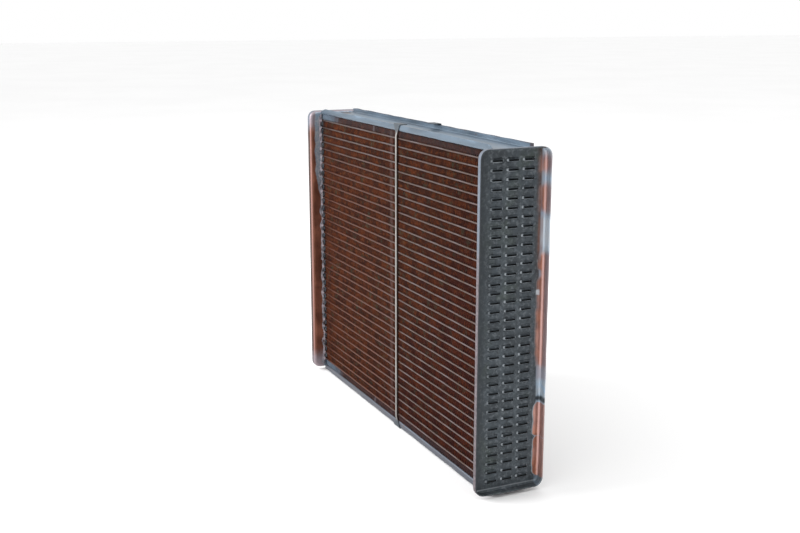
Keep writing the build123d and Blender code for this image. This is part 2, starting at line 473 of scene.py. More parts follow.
def header_inside_finish():
    """The tank side of a header: dark dipped floor, with bare copper patches along one bend."""
    look = finishes()
    graph = Graph("header_dipped_inside")
    dark, dark_rough, relief = dipped_base(graph, look)
    across = turned(graph)
    rise = abs(graph.x) - FLOOR_X
    ragged = (graph.noise(0.012, detail=5, warp=0.5, shift=5.0) - 0.5) * 2
    shade = graph.step(-across, 24 * MM, 36 * MM)
    dark = graph.mix(shade * 0.7, dark, tone(look.slate, 0.5))
    stained = graph.step(across + ragged * 3 * MM, 27 * MM, 37 * MM)
    stained = stained * graph.step(graph.z, 190 * MM, 330 * MM)
    dark = graph.mix(stained * 0.55, dark, tone(look.dull_copper, 0.55))
    fold = graph.between(graph.z, 8.0 * MM, 9.2 * MM, 0.5 * MM) * (1 - graph.step(rise, 0.5 * MM, 1.5 * MM))
    dark = graph.mix(fold * 0.45, dark, look.solder)
    height = graph.z + ragged * 3 * MM
    wedge = graph.between(height, 240 * MM, 246 * MM, 6 * MM)
    bare, rim = 0.0, 0.0
    for low, high, soft in BARE_PATCHES:
        end = abs(height - (low + high) / 2) / ((high - low) / 2)
        edge = across + ragged * 2.2 * MM - (end ** 8).least(1.0) * 3.5 * MM - wedge * 5 * MM
        begun = graph.step(edge, HEADER_HALF_Y - 9.2 * MM - soft / 2, HEADER_HALF_Y - 9.2 * MM + soft)
        outline = graph.between(edge, HEADER_HALF_Y - 10.2 * MM, HEADER_HALF_Y - 9.0 * MM, 0.4 * MM)
        along = graph.between(height, low, high, soft)
        bare = (along * begun).most(bare)
        rim = (outline * graph.between(height, low - 1 * MM, high + 1 * MM, 1 * MM) / (soft / MM)).most(rim)
    on_bend = graph.step(rise, -0.1 * MM, 0.3 * MM) * (1 - graph.step(rise, 1.8 * MM, 3.2 * MM))
    on_wall = graph.step(rise, 1.6 * MM, 3.4 * MM)
    rear = graph.step(across, HEADER_HALF_Y - 8 * MM, HEADER_HALF_Y - 5 * MM)
    tinned = graph.mix(graph.step(ragged, -0.4, 0.5), tone(look.tin, 2.1), tone(look.solder, 1.25))
    green_gap = graph.between(height, 101 * MM, 107 * MM, 2 * MM)
    low_end = 1 - graph.step(height, 17 * MM, 24 * MM)
    base = graph.mix(rear * 0.9 * (1 - green_gap) * (1 - low_end * 0.7), dark, tinned)
    lighter = graph.between(height, 272 * MM, 305 * MM, 4 * MM) * rear
    base = graph.mix(lighter * 0.6, base, tone(look.solder, 1.7))
    margin = graph.step(across, HEADER_HALF_Y - 11 * MM, HEADER_HALF_Y - 8 * MM) * (1 - on_bend)
    purple = graph.between(height, 268 * MM, 306 * MM, 5 * MM) * margin * (1 - on_wall)
    base = graph.mix(purple * 0.6, base, look.dull_copper)
    pinkish = graph.between(height, 126 * MM, 140 * MM, 3 * MM) * rear
    base = graph.mix(pinkish * 0.7, base, tone(look.wash, 1.3))
    copper = graph.mix(graph.step(ragged, -0.6, 0.5), look.dull_copper, look.copper)
    # Painted highlight along the bend between floor and wall.
    bend_highlight = blend(look.copper, tone(look.wash, 1.6), 0.5)
    copper = graph.mix(on_bend * 0.8, copper, tone(bend_highlight, 1.25))
    dulled = on_wall * (graph.step(height, 100 * MM, 150 * MM) * 0.4 + 0.45)
    copper = graph.mix(dulled, copper, tone(look.wash, 1.15))
    base = graph.mix(bare, base, copper)
    base = graph.mix(rim * 0.55, base, look.solder)
    spot = graph.between(height, 221 * MM, 226 * MM, 1 * MM) * graph.between(
        across, HEADER_HALF_Y - 10 * MM, HEADER_HALF_Y - 5.5 * MM, 0.6 * MM
    )
    base = graph.mix(spot * 0.8, base, tone(look.solder, 1.5))
    # Painted shade on the far header's rim edge.
    left_rim_shade = graph.step(rise, 7.6 * MM, 8.2 * MM) * graph.step(-graph.x, 0.0, 1 * MM)
    base = graph.mix(left_rim_shade * 0.8, base, look.fin_dark)
    rough = dark_rough * (1 - bare) + bare * 0.34 + on_wall * 0.15
    metallic = (0.55 + bare * 0.35) * (1 - on_wall * 0.7)
    return graph.finish(base, rough, metallic, relief)


def header_outside_finish():
    """The core side and outer rim of a header: browned copper with a painted highlight along its bend,
    washed with tin at its ends.
    """
    look = finishes()
    graph = Graph("header_copper_outside")
    clouds = graph.noise(0.030, detail=4, warp=0.5)
    grains = graph.noise(0.003, detail=3, shift=2.0)
    rise = abs(graph.x) - FLOOR_X
    copper = graph.mix(graph.step(clouds, 0.35, 0.7), look.dull_copper, tone(look.dull_copper, 1.6))
    copper = graph.mix(graph.step(grains, 0.55, 0.75) * 0.4, copper, look.fin_dark)
    # Painted highlight along the bend.
    on_bend = graph.between(rise, -0.4 * MM, 1.5 * MM, 0.4 * MM)
    copper = graph.mix(graph.step(rise, -1.6 * MM, -0.6 * MM) * 0.5, copper, look.fin_dark)
    copper = graph.mix(on_bend * 0.6, copper, blend(look.copper, look.wash, 0.62))
    on_wall = graph.step(rise, 1.3 * MM, 2.3 * MM)
    copper = graph.mix(on_wall * 0.95, copper, tone(look.fin_dark, 0.7))
    ends = abs(graph.z - MIDDLE_Z) + (clouds - 0.5) * 0.02
    ends = ends + (grains - 0.5) * 0.012
    tinned = graph.step(ends, HEADER_HALF_Z - 30 * MM, HEADER_HALF_Z - 12 * MM) * 0.85
    near_wall = graph.step(graph.x + (clouds - 0.5) * 0.012, FLOOR_X - 4 * MM, FLOOR_X + 1 * MM)
    tinned = tinned.most(near_wall * 0.9)
    up = graph.step(graph.z, 230 * MM, 300 * MM)
    spread = graph.noise(0.018, detail=4, shift=11.0)
    reach = (up * 8.0 + 1.0) * MM + (spread - 0.5) * 8 * MM
    from_core = abs(graph.y) - CORE_BACK
    seam = 1 - graph.step(from_core - reach, -1 * MM, 1 * MM)
    washed = graph.mix(graph.step(grains, 0.35, 0.65), tone(look.wash, 0.5), tone(look.wash, 0.78))
    upper = graph.step(graph.z + (clouds - 0.5) * 0.1, 0.24, 0.30) * 0.65
    wall_tin = graph.mix(upper, washed, tone(look.tin, 0.9))
    far_corner = graph.step(-graph.x, 0.0, 1 * MM) * (1 - graph.step(rise, 1.0 * MM, 3.0 * MM))
    wall_tin = graph.mix(far_corner * 0.8, wall_tin, tone(look.wash, 1.6))
    base = graph.mix(tinned, copper, wall_tin)
    lumpy = graph.mix(graph.step(grains, 0.35, 0.65), tone(look.tin, 1.7), tone(look.solder, 1.35))
    base = graph.mix(seam * 0.9 * (1 - near_wall) * (1 - graph.step(rise, -0.8 * MM, 0.2 * MM)), base, lumpy)
    rough = graph.step(clouds, 0.3, 0.7) * 0.2 + 0.36
    relief = graph.bump(clouds, 0.3 * MM)
    relief = graph.bump(grains, 0.12 * MM, relief)
    return graph.finish(base, rough, 0.75 - on_wall * 0.5, relief, specular=0.2)


def plate_finish():
    """Blue-grey tinned steel with run marks along the sheet, dull spots and browned edges, and painted shade
    in and under the channels.
    """
    look = finishes()
    graph = Graph("tinned_sheet")
    runs = graph.noise(0.010, detail=4, place=graph.stretched(0.12, 1.0, 1.0), warp=0.4)
    clouds = graph.noise(0.035, detail=4, shift=3.0)
    base = graph.mix(graph.step(runs, 0.3, 0.7), tone(look.tin, 0.75), tone(look.tin, 1.35))
    base = graph.mix(graph.step(clouds, 0.5, 0.75) * 0.3, base, look.solder)
    # Painted shade inside the channel towards its rear flange.
    toward_rear = graph.step(graph.y, CORE_FRONT * 0.4, CORE_BACK)
    base = graph.mix(toward_rear * 0.55, base, tone(look.tin, 0.55))
    # Painted shade on the flanges' outer faces.
    faces_out = graph.step(abs(graph.y), CORE_BACK - 0.6 * MM, CORE_BACK - 0.2 * MM)
    base = graph.mix(faces_out * 0.75, base, tone(look.tin, 0.55))
    # Painted shade on the bottom channel, under the core.
    bottom_channel_shade = 1 - graph.step(graph.z, MIDDLE_Z - 1 * MM, MIDDLE_Z)
    base = graph.mix(bottom_channel_shade * 0.6, base, tone(look.wash, 0.42))
    stains = graph.noise(0.006, detail=5, shift=8.0)
    rear_edge = graph.step(graph.y, CORE_BACK - 1.6 * MM, CORE_BACK - 1.1 * MM) * graph.step(
        abs(graph.z - MIDDLE_Z), HEADER_HALF_Z + 1.2 * MM, HEADER_HALF_Z + 2.6 * MM
    )
    rear_edge = rear_edge * graph.step(stains, 0.3, 0.6)
    # Painted shade in the channel's rear corner at the near header.
    rear_corner_shade = graph.step(graph.x, FLOOR_X - 9 * MM, FLOOR_X - 6 * MM)
    rear_corner_shade = rear_corner_shade * graph.step(graph.y, CORE_BACK - 4 * MM, CORE_BACK)
    # Painted shadow in the wavy gap where the channel's web ends at the far header.
    ragged_end = -graph.x + (graph.noise(0.007, detail=3, shift=4.0) - 0.5) * 0.016
    wavy_gap_shadow = graph.step(ragged_end, FLOOR_X - 26 * MM, FLOOR_X - 22 * MM) * graph.between(
        graph.y + (stains - 0.5) * 0.01, 1 * MM, 15 * MM, 1.5 * MM
    )
    wavy_gap_shadow = wavy_gap_shadow * graph.step(graph.z, MIDDLE_Z, MIDDLE_Z + 1 * MM)
    base = graph.mix((rear_edge * 0.6).most(rear_corner_shade * 0.8).most(wavy_gap_shadow * 0.8), base, look.fin_dark)
    base = graph.mix(graph.step(stains, 0.62, 0.78) * 0.5, base, look.dull_copper)
    rough = graph.step(runs, 0.25, 0.75) * 0.22 + 0.32
    relief = graph.bump(runs, 0.2 * MM)
    relief = graph.bump(stains, 0.12 * MM, relief)
    return graph.finish(base, rough, 0.7, relief)


def strap_finish():
    """Dull plated steel, pale on its face, darker blue-grey on its head, with brown stains and painted shade
    along the bar's sides.
    """
    look = finishes()
    graph = Graph("strap_steel")
    clouds = graph.noise(0.012, detail=4, place=graph.stretched(1.0, 1.0, 0.3))
    base = graph.mix(graph.step(clouds, 0.3, 0.7), tone(look.strap, 0.75), tone(look.strap, 1.25))
    head = graph.step(abs(graph.z - MIDDLE_Z), HEADER_HALF_Z - 8 * MM, HEADER_HALF_Z - 3 * MM)
    base = graph.mix(head * 0.9, base, tone(look.tin, 0.3))
    front, rear = (sum(corner.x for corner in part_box(f"tie_strap_{end}")) / 2 for end in ("front", "rear"))
    centre = graph.step(graph.y, 0.0, 1 * MM) * (rear - front) + front
    # Painted shade along both sides of the bar.
    side = graph.step(abs(graph.x - centre), 1.75 * MM, 2.15 * MM) * (1 - head)
    base = graph.mix(side * 0.9, base, look.fin_dark)
    stains = graph.noise(0.005, detail=4, shift=6.0)
    base = graph.mix(graph.step(stains, 0.58, 0.75) * 0.5, base, look.dull_copper)
    rough = graph.step(clouds, 0.3, 0.7) * 0.2 + 0.35
    return graph.finish(base, rough, 0.7, graph.bump(stains, 0.15 * MM))


def floor_finish():
    """Pale matt studio paper, very slightly uneven."""
    graph = Graph("studio_paper")
    fibres = graph.noise(0.004, detail=3)
    clouds = graph.noise(0.6, detail=2)
    base = graph.mix(graph.step(clouds, 0.3, 0.7), (0.95, 0.95, 0.95), (0.97, 0.97, 0.97))
    return graph.finish(base, 0.9, 0.0, graph.bump(fibres, 0.05 * MM), specular=0.1)


# ---------------------------------------------------------------- shapes


def wander(points, wavelength, seed):
    """Smooth random values from about -1 to 1 at the points, which change over the wavelength."""
    points = np.asarray(points, float)
    draw = np.random.default_rng(seed)
    directions = draw.normal(size=(6, points.shape[-1]))
    directions /= np.linalg.norm(directions, axis=1, keepdims=True)
    pace = 2 * math.pi / wavelength * draw.uniform(0.6, 1.6, (6, 1))
    phases = draw.uniform(0, 2 * math.pi, 6)
    return np.sin(points @ (directions * pace).T + phases).sum(axis=-1) / 3


def grid_faces(rows, columns, ring=False, first=0):
    """Quads of a grid of points, row by row, with its columns joined into a ring where asked."""
    index = first + np.arange(rows * columns).reshape(rows, columns)
    if ring:
        index = np.hstack([index, index[:, :1]])
    corners = (index[:-1, :-1], index[:-1, 1:], index[1:, 1:], index[1:, :-1])
    return np.stack(corners, axis=-1).reshape(-1, 4)


def tube_faces(rings, around):
    """Faces of a row of rings of points, closed at both ends."""
    faces = [list(face) for face in grid_faces(rings, around, ring=True)]
    last = (rings - 1) * around
    faces.append(list(range(around))[::-1])
    faces.append(list(range(last, last + around)))
    return faces


def rounded_outline(corners, radii, arc_steps=4, longest=None, closed=True):
    """A polyline's points with each corner turned into an arc, and long runs divided."""
    count = len(corners)
    points = []
    for place, (corner, radius) in enumerate(zip(corners, radii)):
        corner = np.array(corner, float)
        if not closed and place in (0, count - 1):
            points.append(corner)
            continue
        before = np.array(corners[place - 1], float) - corner
        after = np.array(corners[(place + 1) % count], float) - corner
        before /= np.linalg.norm(before)
        after /= np.linalg.norm(after)
        half_turn = math.acos(max(-1, min(1, before @ after))) / 2
        reach = radius / math.tan(half_turn)
        start, end = corner + before * reach, corner + after * reach
        centre = corner + (before + after) / np.linalg.norm(before + after) * radius / math.sin(half_turn)
        for step in range(arc_steps + 1):
            share = step / arc_steps
            spoke = (start - centre) * (1 - share) + (end - centre) * share
            points.append(centre + spoke / np.linalg.norm(spoke) * radius)
    if longest is None:
        return np.array(points)
    divided = []
    for place, point in enumerate(points):
        last = place == len(points) - 1
        divided.append(point)
        if last and not closed:
            break
        following = points[(place + 1) % len(points)]
        pieces = max(1, math.ceil(np.linalg.norm(following - point) / longest))
        divided += [point + (following - point) * step / pieces for step in range(1, pieces)]
    return np.array(divided)


def slot_outline(width, height, flat_steps, nose_steps):
    """A flat tube's outline, anticlockwise from the lower end of its left nose, as (across, up)."""
    radius = height / 2
    half_flat = width / 2 - radius
    turns = np.radians(180 * np.arange(1, nose_steps + 2) / (nose_steps + 2) - 90)
    run = np.linspace(-half_flat, half_flat, flat_steps - 1)
    right = np.stack([half_flat + radius * np.cos(turns), radius * np.sin(turns)], axis=1)
    lower = np.stack([run, np.full_like(run, -radius)], axis=1)
    outline = np.vstack([lower, right, -lower, -right])
    return np.roll(outline, 1, axis=0)


def add_piece(name, points, faces, finish, replaced=(), smooth_angle=None):
    """Makes a mesh object on the core's body and hides the CAD nodes it stands for."""
    mesh = bpy.data.meshes.new(name)
    mesh.from_pydata(np.asarray(points).tolist(), [], [list(map(int, face)) for face in faces])
    mesh.validate()
    for material in finish if isinstance(finish, (list, tuple)) else [finish]:
        mesh.materials.append(material)
    mesh.polygons.foreach_set("use_smooth", [True] * len(mesh.polygons))
    if smooth_angle is not None:
        mesh.set_sharp_from_angle(angle=math.radians(smooth_angle))
    piece = bpy.data.objects.new(name, mesh)
    bpy.context.scene.collection.objects.link(piece)
    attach(piece, BODY)
    if replaced:
        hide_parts(*replaced)
    return piece


def thicken(piece, thickness, offset, material_step=0):
    """Gives a sheet its thickness; its rim keeps the first material."""
    solid = piece.modifiers.new("sheet", "SOLIDIFY")
    solid.thickness = thickness
    solid.offset = offset
    solid.material_offset = material_step
    solid.material_offset_rim = 0


def need(condition, words):
    """Stops the script with a plain message, because a cancelled operator doesn't."""
    if not condition:
        raise RuntimeError(words)


def fin_fold_line(count, wave, height, crest):
    """The strip's line seen from the front, one fold after another, as (along, up)."""
    half = wave / 2
    rise = height - 2 * crest
    centre_line = math.hypot(half, rise)
    lean = math.atan2(rise, half) + math.asin(2 * crest / centre_line)
    swing = np.linspace(lean - math.pi / 2, math.pi * 3 / 2 - lean, 5)
    points = []
    for fold in range(count):
        sign = 1 if fold % 2 else -1
        for turn in swing:
            points.append((fold * half - crest * math.cos(turn), sign * (rise / 2 + crest * math.sin(turn))))
    return np.array(points)


class RADIATOR_OT_fins(bpy.types.Operator):
    """Fold the copper fin strips between the tube rows"""

    bl_idname = "radiator.fins"
    bl_label = "Folded fins"

    def execute(self, context):
        size = sizes()
        need(FIN_NODES, "the frame has no fin strips")
        finish = fin_copper_finish()
        for layer, node in enumerate(FIN_NODES):
            low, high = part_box(node)
            folds = 2 * int((high.x - low.x) / size.fin_wave)
            height = high.z - low.z - size.fin_sheet
            line = fin_fold_line(folds, size.fin_wave, height, size.fin_crest)
            line[:, 0] += low.x - line[0, 0] + size.fin_sheet
            edge = 1.6 * MM
            inner = np.linspace(low.y + 4 * edge, high.y - 4 * edge, 7)
            rows = np.array([low.y, low.y + edge, *inner, high.y - edge, high.y])
            lean = np.array([0, 0, *([1, -1] * 4)[:7], 0, 0]) * size.fin_ripple
            along = np.repeat(line[None, :, 0], len(rows), axis=0)
            up = np.repeat(line[None, :, 1], len(rows), axis=0) + (low.z + high.z) / 2
            depth = np.repeat(rows[:, None], line.shape[0], axis=1)
            middle = 1 - np.abs(line[None, :, 1]) / (height / 2)
            along = along + lean[:, None] * np.minimum(1, middle * 3 + 0.25)
            places = np.stack([along, depth * 0.3, up], axis=-1)
            sway = wander(places, 23 * MM, 10 + layer) * 0.35 * MM
            knocks = np.clip(wander(places, 9 * MM, 60 + layer), -1, 1) * size.fin_bend
            at_edge = np.array([1, 0.45, *[0] * 7, 0.45, 1])[:, None]
            shift = (sway + knocks * at_edge) * np.minimum(1, middle * 3)
            along = np.clip(along + shift, low.x, high.x)
            points = np.stack([along, depth, up], axis=-1).reshape(-1, 3)
            faces = grid_faces(len(rows), line.shape[0])
            piece = add_piece(
                f"folded_fin_{layer + 1:02d}", points, faces, finish, [node], smooth_angle=50
            )
            thicken(piece, size.fin_sheet, 0)
        return {"FINISHED"}


class RADIATOR_OT_tubes(bpy.types.Operator):
    """Draw the flat water tubes, open at both ends"""

    bl_idname = "radiator.tubes"
    bl_label = "Flat tubes"

    def execute(self, context):
        size = sizes()
        finish = [tube_finish(), tube_scale_and_shade_finish()]
        outline = slot_outline(TUBE_WIDTH, TUBE_THICKNESS, 6, 4)
        stations = np.linspace(-TUBE_REACH, TUBE_REACH, 40)
        stations[1], stations[-2] = -TUBE_REACH + 1.5 * MM, TUBE_REACH - 1.5 * MM
        for column, (node, place) in enumerate(zip(TUBE_NODES, COLUMN_PLACES)):
            points, faces = [], []
            for height in ROW_PLACES:
                ring = np.zeros((len(stations), len(outline), 3))
                ring[:, :, 0] = stations[:, None]
                ring[:, :, 1] = place + outline[None, :, 0]
                ring[:, :, 2] = height + outline[None, :, 1]
                inside = 1 - (np.abs(stations) / TUBE_REACH) ** 8
                line = np.stack([stations, np.full_like(stations, height * 3)], axis=1)
                sag = wander(line, 90 * MM, 200 + column) * size.tube_wave * inside
                step = wander(line, 60 * MM, 220 + column) * size.tube_wave * inside
                ring[:, :, 2] += sag[:, None]
                ring[:, :, 1] += step[:, None]
                first = len(points) * len(stations) * len(outline)
                faces.append(grid_faces(len(stations), len(outline), ring=True, first=first))
                points.append(ring.reshape(-1, 3))
            piece = add_piece(
                f"flat_tubes_{column + 1}", np.vstack(points), np.vstack(faces), finish, [node]
            )
            thicken(piece, size.tube_wall, -1, material_step=1)
        return {"FINISHED"}


def soften_corners(points, half_y, half_z, radius):
    """Moves points of a rectangle's corners on to rings about the corner's centre."""
    centre = np.array([half_y - radius, half_z - radius])
    beyond = np.abs(points) - centre
    in_corner = (beyond > 0).all(axis=-1)
    reach = beyond.max(axis=-1)
    small = beyond.min(axis=-1) / np.where(reach > 0, reach, 1)
    turn = small * math.pi / 4
    wide = beyond[..., 0] >= beyond[..., 1]
    along = np.where(wide, np.cos(turn), np.sin(turn)) * reach
    up = np.where(wide, np.sin(turn), np.cos(turn)) * reach
    moved = (centre + np.stack([along, up], axis=-1)) * np.sign(points)
    return np.where(in_corner[..., None], moved, points)


def tray_mesh(size):
    """Points and faces of a header tray's tank side, as (out, across, up) from the floor's middle."""
    flat_steps, nose_steps = 8, 4
    inset = size.header_sheet + size.header_bend
    half_y, half_z = HEADER_HALF_Y - inset, HEADER_HALF_Z - inset
    radius = size.header_corner - inset
    grid_y, grid_z = len(COLUMN_PLACES) * COLUMN_PITCH / 2, ROWS * ROW_PITCH / 2
    cells_y = np.linspace(-grid_y, grid_y, len(COLUMN_PLACES) * flat_steps + 1)
    cells_z = np.linspace(-grid_z, grid_z, ROWS * nose_steps + 1)
    margin_y = np.linspace(grid_y, half_y, 6)[1:]
    margin_z = np.linspace(grid_z, half_z, 4)[1:]
    lines_y = np.concatenate([-margin_y[::-1], cells_y, margin_y])
    lines_z = np.concatenate([-margin_z[::-1], cells_z, margin_z])
    first_y, first_z = len(margin_y), len(margin_z)
    flat = np.stack(np.meshgrid(lines_y, lines_z, indexing="ij"), axis=-1)
    flat = soften_corners(flat, half_y, half_z, radius)
    place_y = (np.arange(len(lines_y)) - first_y)[:, None]
    place_z = (np.arange(len(lines_z)) - first_z)[None, :]
    in_grid = (place_y >= 0) & (place_y < len(cells_y)) & (place_z >= 0) & (place_z < len(cells_z))
    inside = in_grid & (place_y % flat_steps > 0) & (place_z % nose_steps > 0)
    index = np.full(inside.shape, -1)
    index[~inside] = np.arange((~inside).sum())
    points = [np.concatenate([np.zeros((1,)), spot]) for spot in flat[~inside]]
    faces = []
    slotted_y = range(first_y, first_y + len(cells_y) - 1)
    slotted_z = range(first_z, first_z + len(cells_z) - 1)
    for i in range(len(lines_y) - 1):
        for j in range(len(lines_z) - 1):
            if i not in slotted_y or j not in slotted_z:
                faces.append((index[i, j], index[i + 1, j], index[i + 1, j + 1], index[i, j + 1]))
    hole = slot_outline(TUBE_WIDTH + 0.1 * MM, TUBE_THICKNESS + 0.1 * MM, flat_steps, nose_steps)
    for column in range(len(COLUMN_PLACES)):
        for row in range(ROWS):
            i, j = first_y + column * flat_steps, first_z + row * nose_steps
            around = [index[i + k, j] for k in range(flat_steps)]
            around += [index[i + flat_steps, j + k] for k in range(nose_steps)]
            around += [index[i + flat_steps - k, j + nose_steps] for k in range(flat_steps)]
            around += [index[i, j + nose_steps - k] for k in range(nose_steps)]
            centre = np.array([COLUMN_PLACES[column], ROW_PLACES[row] - MIDDLE_Z])
            rim = np.array([points[k][1:] for k in around])
            previous = around
            for share in (0.35, 0.0):
                ring = (centre + hole) * (1 - share) + rim * share
                here = list(range(len(points), len(points) + len(ring)))
                points += [np.concatenate([np.zeros((1,)), spot]) for spot in ring]
                for k in range(len(here)):
                    after = (k + 1) % len(here)
                    faces.append((previous[k], previous[after], here[after], here[k]))
                previous = here
    last_y, last_z = len(lines_y) - 1, len(lines_z) - 1
    edge = [(i, 0) for i in range(last_y)] + [(last_y, j) for j in range(last_z)]
    edge += [(i, last_z) for i in range(last_y, 0, -1)] + [(0, j) for j in range(last_z, 0, -1)]
    previous = [index[spot] for spot in edge]
    outline = np.array([flat[spot] for spot in edge])
    centres = np.clip(outline, [radius - half_y, radius - half_z], [half_y - radius, half_z - radius])
    outward = (outline - centres) / np.linalg.norm(outline - centres, axis=1, keepdims=True)
    bend = [math.radians(turn) for turn in (18, 36, 54, 72, 90)]
    profile = [(size.header_bend * math.sin(t), size.header_bend * (1 - math.cos(t))) for t in bend]
    depth = RIM_X - FLOOR_X
    profile += [(size.header_bend, rise) for rise in np.linspace(size.header_bend, depth, 5)[1:]]
    for out, rise in profile:
        here = list(range(len(points), len(points) + len(outline)))
        points += [np.concatenate([np.array([rise]), spot]) for spot in outline + outward * out]
        for k in range(len(here)):
            after = (k + 1) % len(here)
            faces.append((previous[k], here[k], here[after], previous[after]))
        previous = here
    return np.array(points), faces


class RADIATOR_OT_header_plates(bpy.types.Operator):
    """Press the two header trays, slot them for the tubes and dip them in solder"""

    bl_idname = "radiator.header_plates"
    bl_label = "Header plates"

    def execute(self, context):
        size = sizes()
        finish = [header_inside_finish(), header_outside_finish()]
        points, faces = tray_mesh(size)
        need(len(faces) > 0, "the header tray has no faces")
        for side, end in ((1, "right"), (-1, "left")):
            tray = points.copy()
            rise = tray[:, 0] / (RIM_X - FLOOR_X)
            dents = wander(tray[:, 1:], 70 * MM, 300 + side)
            tray[:, 1] *= 1 - np.clip(rise, 0, 1) * (0.003 + 0.0015 * dents)
            worn = 0.04 * MM + 0.15 * MM * np.maximum(0, 1 + wander(tray[:, 1:], 40 * MM, 310 + side))
            tray[:, 0] -= np.where(rise > 0.99, worn, 0)
            low_side = np.clip((-tray[:, 1] - 24 * MM) / (14 * MM), 0, 1)
            tray[:, 0] *= 1 - low_side * size.rim_slope / (RIM_X - FLOOR_X)
            quilting = wander(tray[:, 1:], 45 * MM, 320 + side) * 0.15 * MM
            tray[:, 0] += np.where(rise <= 0, quilting, 0)
            tray[:, 0] += FLOOR_X
            tray[:, :2] *= side
            tray[:, 2] += MIDDLE_Z
            node = f"header_plate_{end}"
            piece = add_piece(
                f"header_tray_{end}", tray, faces, finish, [node], smooth_angle=55
            )
            thicken(piece, size.header_sheet, -1, material_step=1)
        return {"FINISHED"}


def ring_solder(size, draw, side):
    """Solder fillets round all the tube ends of one header's tank side."""
    flat_steps, nose_steps = 8, 4
    profile = np.array([(0.0, -0.2), (0.0, 1.0), (0.14, 0.93), (0.36, 0.55), (0.66, 0.24), (1.0, -0.06)])
    points, faces, first = [], [], 0
    for column in COLUMN_PLACES:
        for height in ROW_PLACES:
            reach = size.ring_reach * draw.uniform(0.8, 1.12)
            climb = size.ring_height * draw.uniform(0.75, 1.1)
            rings = []
            for out, up in profile:
                grow = 2 * (out * reach + 0.02 * MM)
                loop = slot_outline(TUBE_WIDTH + grow, TUBE_THICKNESS + grow, flat_steps, nose_steps)
                at_nose = np.clip((np.abs(loop[:, 0]) - TUBE_WIDTH / 2 + 1 * MM) / (1.5 * MM), 0, 1)
                at_nose *= np.where(loop[:, 0] < 0, 1.3, 0.3)
                spot = loop + (column, height)
                lumps = 1 + 0.2 * wander(spot, 7 * MM, 400 + side) + 0.6 * at_nose
                level = climb * up * np.where(up > 0, lumps, 1)
                loop = loop * (1 + 0.05 * out * wander(spot, 5 * MM, 410 + side))[:, None]
                rings.append(np.column_stack([level, loop + (column, height)]))
            rings.append(rings[0])
            points.append(np.vstack(rings[:-1]))
            quads = grid_faces(len(profile), len(rings[0]), ring=True, first=first)
            bottom = first + (len(profile) - 1) * len(rings[0]) + np.arange(len(rings[0]))
            top = first + np.arange(len(rings[0]))
            underside = np.stack([bottom, np.roll(bottom, -1), np.roll(top, -1), top], axis=1)
            faces += [quads, underside]
            first += len(profile) * len(rings[0])
    points = np.vstack(points)
    points[:, 0] += FLOOR_X
    points[:, :2] *= side
    return points, np.vstack(faces)


def bead_strip(size, side, edge):
    """Lumpy solder along one edge of the core, on the core side of one header."""
    across = np.linspace(0, 1, 9)
    up = np.arange(-HEADER_HALF_Z + 4 * MM, HEADER_HALF_Z - 4 * MM, 1.25 * MM)
    grid = np.stack(np.meshgrid(across, up, indexing="ij"), axis=-1)
    height = grid[..., 1] + MIDDLE_Z
    reach = size.bead_reach * (1 + 0.35 * wander(up[:, None], 26 * MM, 500 + side + edge))[None, :]
    out = grid[..., 0] * reach
    to_row = np.abs((grid[..., 1] + ROWS * ROW_PITCH / 2) % ROW_PITCH - ROW_PITCH / 2)
    at_tube = np.exp(-((to_row / (1.7 * MM)) ** 2)) * np.exp(-((out / (2.2 * MM)) ** 2))
    spots = np.stack([out, height], axis=-1)
    lumps = 0.5 + 0.35 * wander(spots, 6 * MM, 510 + side + edge) + 0.2 * wander(spots, 17 * MM, 520 + edge)
    level = size.bead_height * (0.9 * lumps * (1 - grid[..., 0] ** 2) + 1.6 * at_tube) - 0.1 * MM
    level[-1] = -0.4 * MM
    level[:, 0] = level[:, -1] = -0.4 * MM
    wall = FLOOR_X - size.header_sheet
    y = edge * (CORE_BACK - 0.4 * MM + out)
    top = np.stack([wall - level, y, height], axis=-1).reshape(-1, 3)
    back = np.stack([np.full_like(level, wall + 0.5 * MM), y, height], axis=-1).reshape(-1, 3)
    count = grid.shape[:2]
    faces = grid_faces(*count)
    index = np.arange(count[0] * count[1]).reshape(count)
    loop = np.concatenate([index[:-1, 0], index[-1, :-1], index[:0:-1, -1], index[0, :0:-1]])
    lower = len(top) + loop
    sides = np.stack([loop, np.roll(loop, -1), np.roll(lower, -1), lower], axis=1)
    points = np.vstack([top, back])
    points[:, :2] *= side
    return points, np.vstack([faces, faces[:, ::-1] + len(top), sides])


class RADIATOR_OT_solder(bpy.types.Operator):
    """Run solder round the tube ends and along the core's edges"""

    bl_idname = "radiator.solder"
    bl_label = "Solder"

    def execute(self, context):
        size = sizes()
        dipped, light = dipped_finish(), solder_finish()
        for side, end in ((1, "right"), (-1, "left")):
            draw = np.random.default_rng(40 + side)
            points, faces = ring_solder(size, draw, side)
            add_piece(f"tube_end_solder_{end}", points, faces, dipped, [f"tube_solder_{end}"])
            for edge, place in ((-1, "front"), (1, "rear")):
                points, faces = bead_strip(size, side, edge * side)
                add_piece(f"seam_solder_{place}_{end}", points, faces, light)
        return {"FINISHED"}


def cut(piece, cutters):
    """Cuts the cutters out of a piece and removes them."""
    for cutter in cutters:
        change = piece.modifiers.new("hole", "BOOLEAN")
        change.operation = "DIFFERENCE"
        change.solver = "EXACT"
        change.object = cutter
    depsgraph = bpy.context.evaluated_depsgraph_get()
    shaped = bpy.data.meshes.new_from_object(piece.evaluated_get(depsgraph))
    piece.modifiers.clear()
    piece.data = shaped
    for cutter in cutters:
        bpy.data.objects.remove(cutter)


